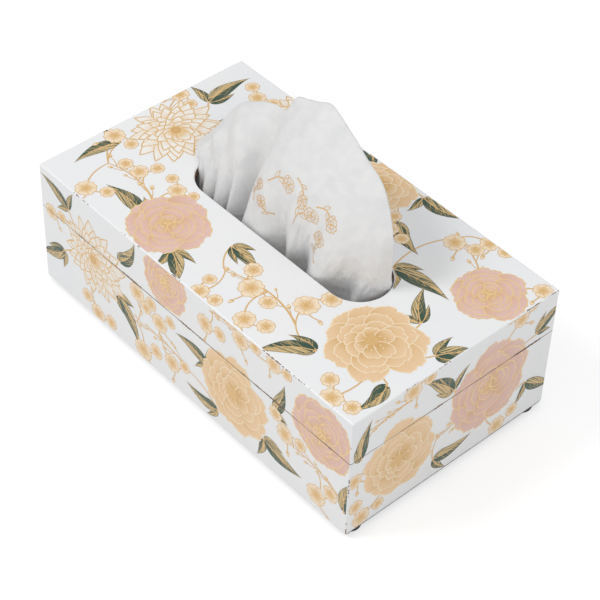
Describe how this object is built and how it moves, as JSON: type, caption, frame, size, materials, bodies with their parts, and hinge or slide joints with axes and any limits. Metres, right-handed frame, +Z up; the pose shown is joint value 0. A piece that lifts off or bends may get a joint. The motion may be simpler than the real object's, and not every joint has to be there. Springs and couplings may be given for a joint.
{
  "type": "wooden tissue box",
  "caption": "White printed wooden box with a hinged lid, an oval slot for drawing folded tissues and a sheet standing out of it.",
  "frame": {"origin": "on the table, below the middle of the box", "axes": "+X along the long side, +Y towards the hinges at the back, +Z up"},
  "size_m": [0.2604, 0.155, 0.1623],
  "materials": {
    "white_board": "smooth white satin lacquer over fibre board",
    "brown_board": "bare fibre board",
    "hinge_brass": "bright brass",
    "foot_rubber": "black moulded rubber",
    "felt": "black felt",
    "tissue": "soft white tissue",
    "gold_ink": "gold print with a soft foil sheen",
    "rose_ink": "dusty rose print",
    "green_ink": "dark green print"
  },
  "bodies": {
    "base": {"base_front_wall": "white_board", "base_back_wall": "white_board", "base_left_wall": "white_board", "base_right_wall": "white_board", "base_bottom_panel": "brown_board", "hinge_left_base_leaf": "hinge_brass", "hinge_left_pin": "hinge_brass", "hinge_right_base_leaf": "hinge_brass", "hinge_right_pin": "hinge_brass", "base_hinge_screws": "hinge_brass", "foot_front_left": "foot_rubber", "foot_front_right": "foot_rubber", "foot_back_left": "foot_rubber", "foot_back_right": "foot_rubber", "base_felt": "felt", "tissue_stack": "tissue", "base_print_gold": "gold_ink", "base_print_rose": "rose_ink", "base_print_green": "green_ink"},
    "lid": {"lid_front_wall": "white_board", "lid_back_wall": "white_board", "lid_left_wall": "white_board", "lid_right_wall": "white_board", "lid_top_panel": "white_board", "hinge_left_lid_leaf": "hinge_brass", "hinge_right_lid_leaf": "hinge_brass", "lid_hinge_screws": "hinge_brass", "pulled_tissue": "tissue", "lid_print_gold": "gold_ink", "lid_print_rose": "rose_ink", "lid_print_green": "green_ink"}
  },
  "joints": [
    {"name": "lid_hinge", "type": "hinge", "parent": "base", "child": "lid", "pos_m": [0, 0.07463, 0.059], "axis": [-1, 0, 0], "range_deg": [0, 96]}
  ]
}
